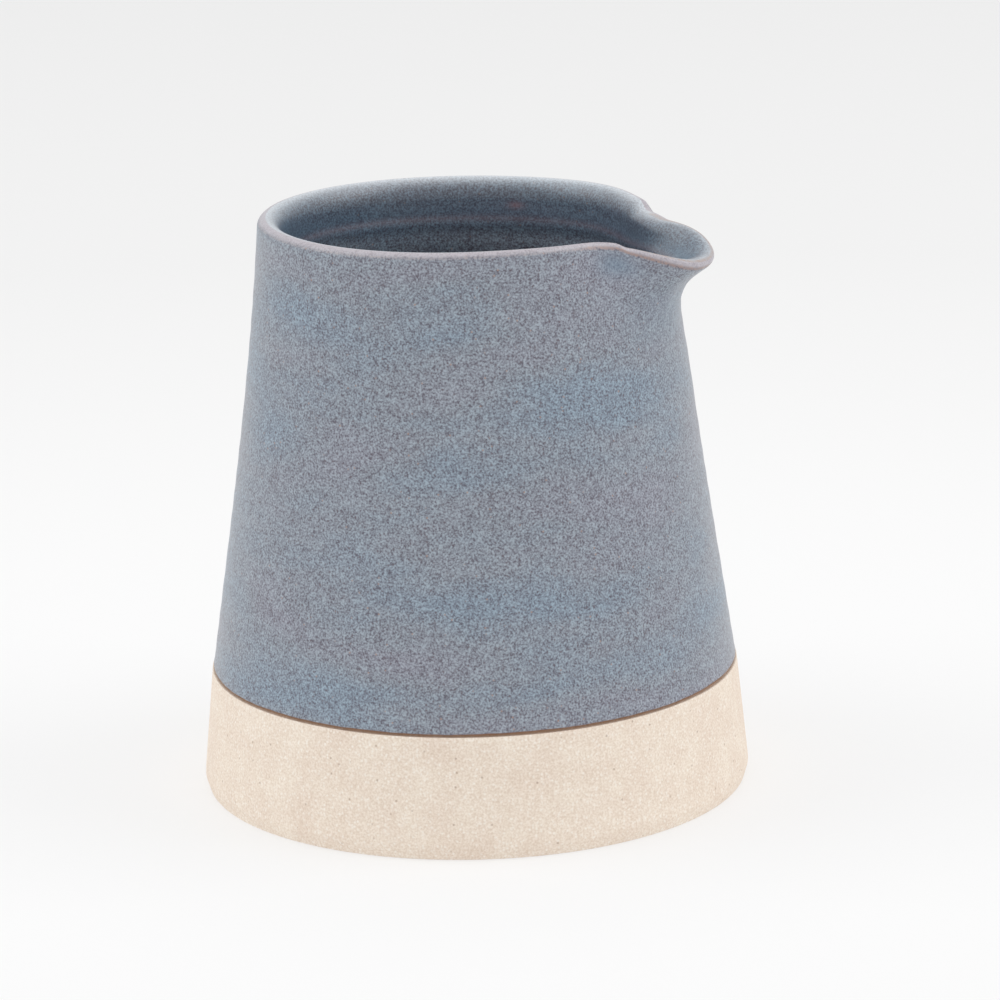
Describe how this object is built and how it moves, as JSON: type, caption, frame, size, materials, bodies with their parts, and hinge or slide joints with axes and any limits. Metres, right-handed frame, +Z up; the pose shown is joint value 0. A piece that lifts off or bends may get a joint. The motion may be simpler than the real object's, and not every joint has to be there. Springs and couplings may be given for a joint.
{
  "type": "ceramic pitcher",
  "caption": "Small wheel-thrown stoneware pitcher with a tapering round body, a pulled pouring spout and an unglazed foot band.",
  "frame": {"origin": "middle of the foot ring, on the surface that the pitcher stands on", "axes": "+Z up along the pitcher's own axis, +X towards the spout"},
  "size_m": [0.0956, 0.0956, 0.1004],
  "materials": {
    "stoneware": "bare fired clay, matt, with fine grog",
    "satin_glaze": "satin blue-grey speckled glaze",
    "liner_glaze": "satin blue-grey speckled glaze"
  },
  "bodies": {
    "root": {"stoneware_body": "stoneware", "outer_glaze": "satin_glaze", "liner_glaze": "liner_glaze"}
  },
  "joints": []
}
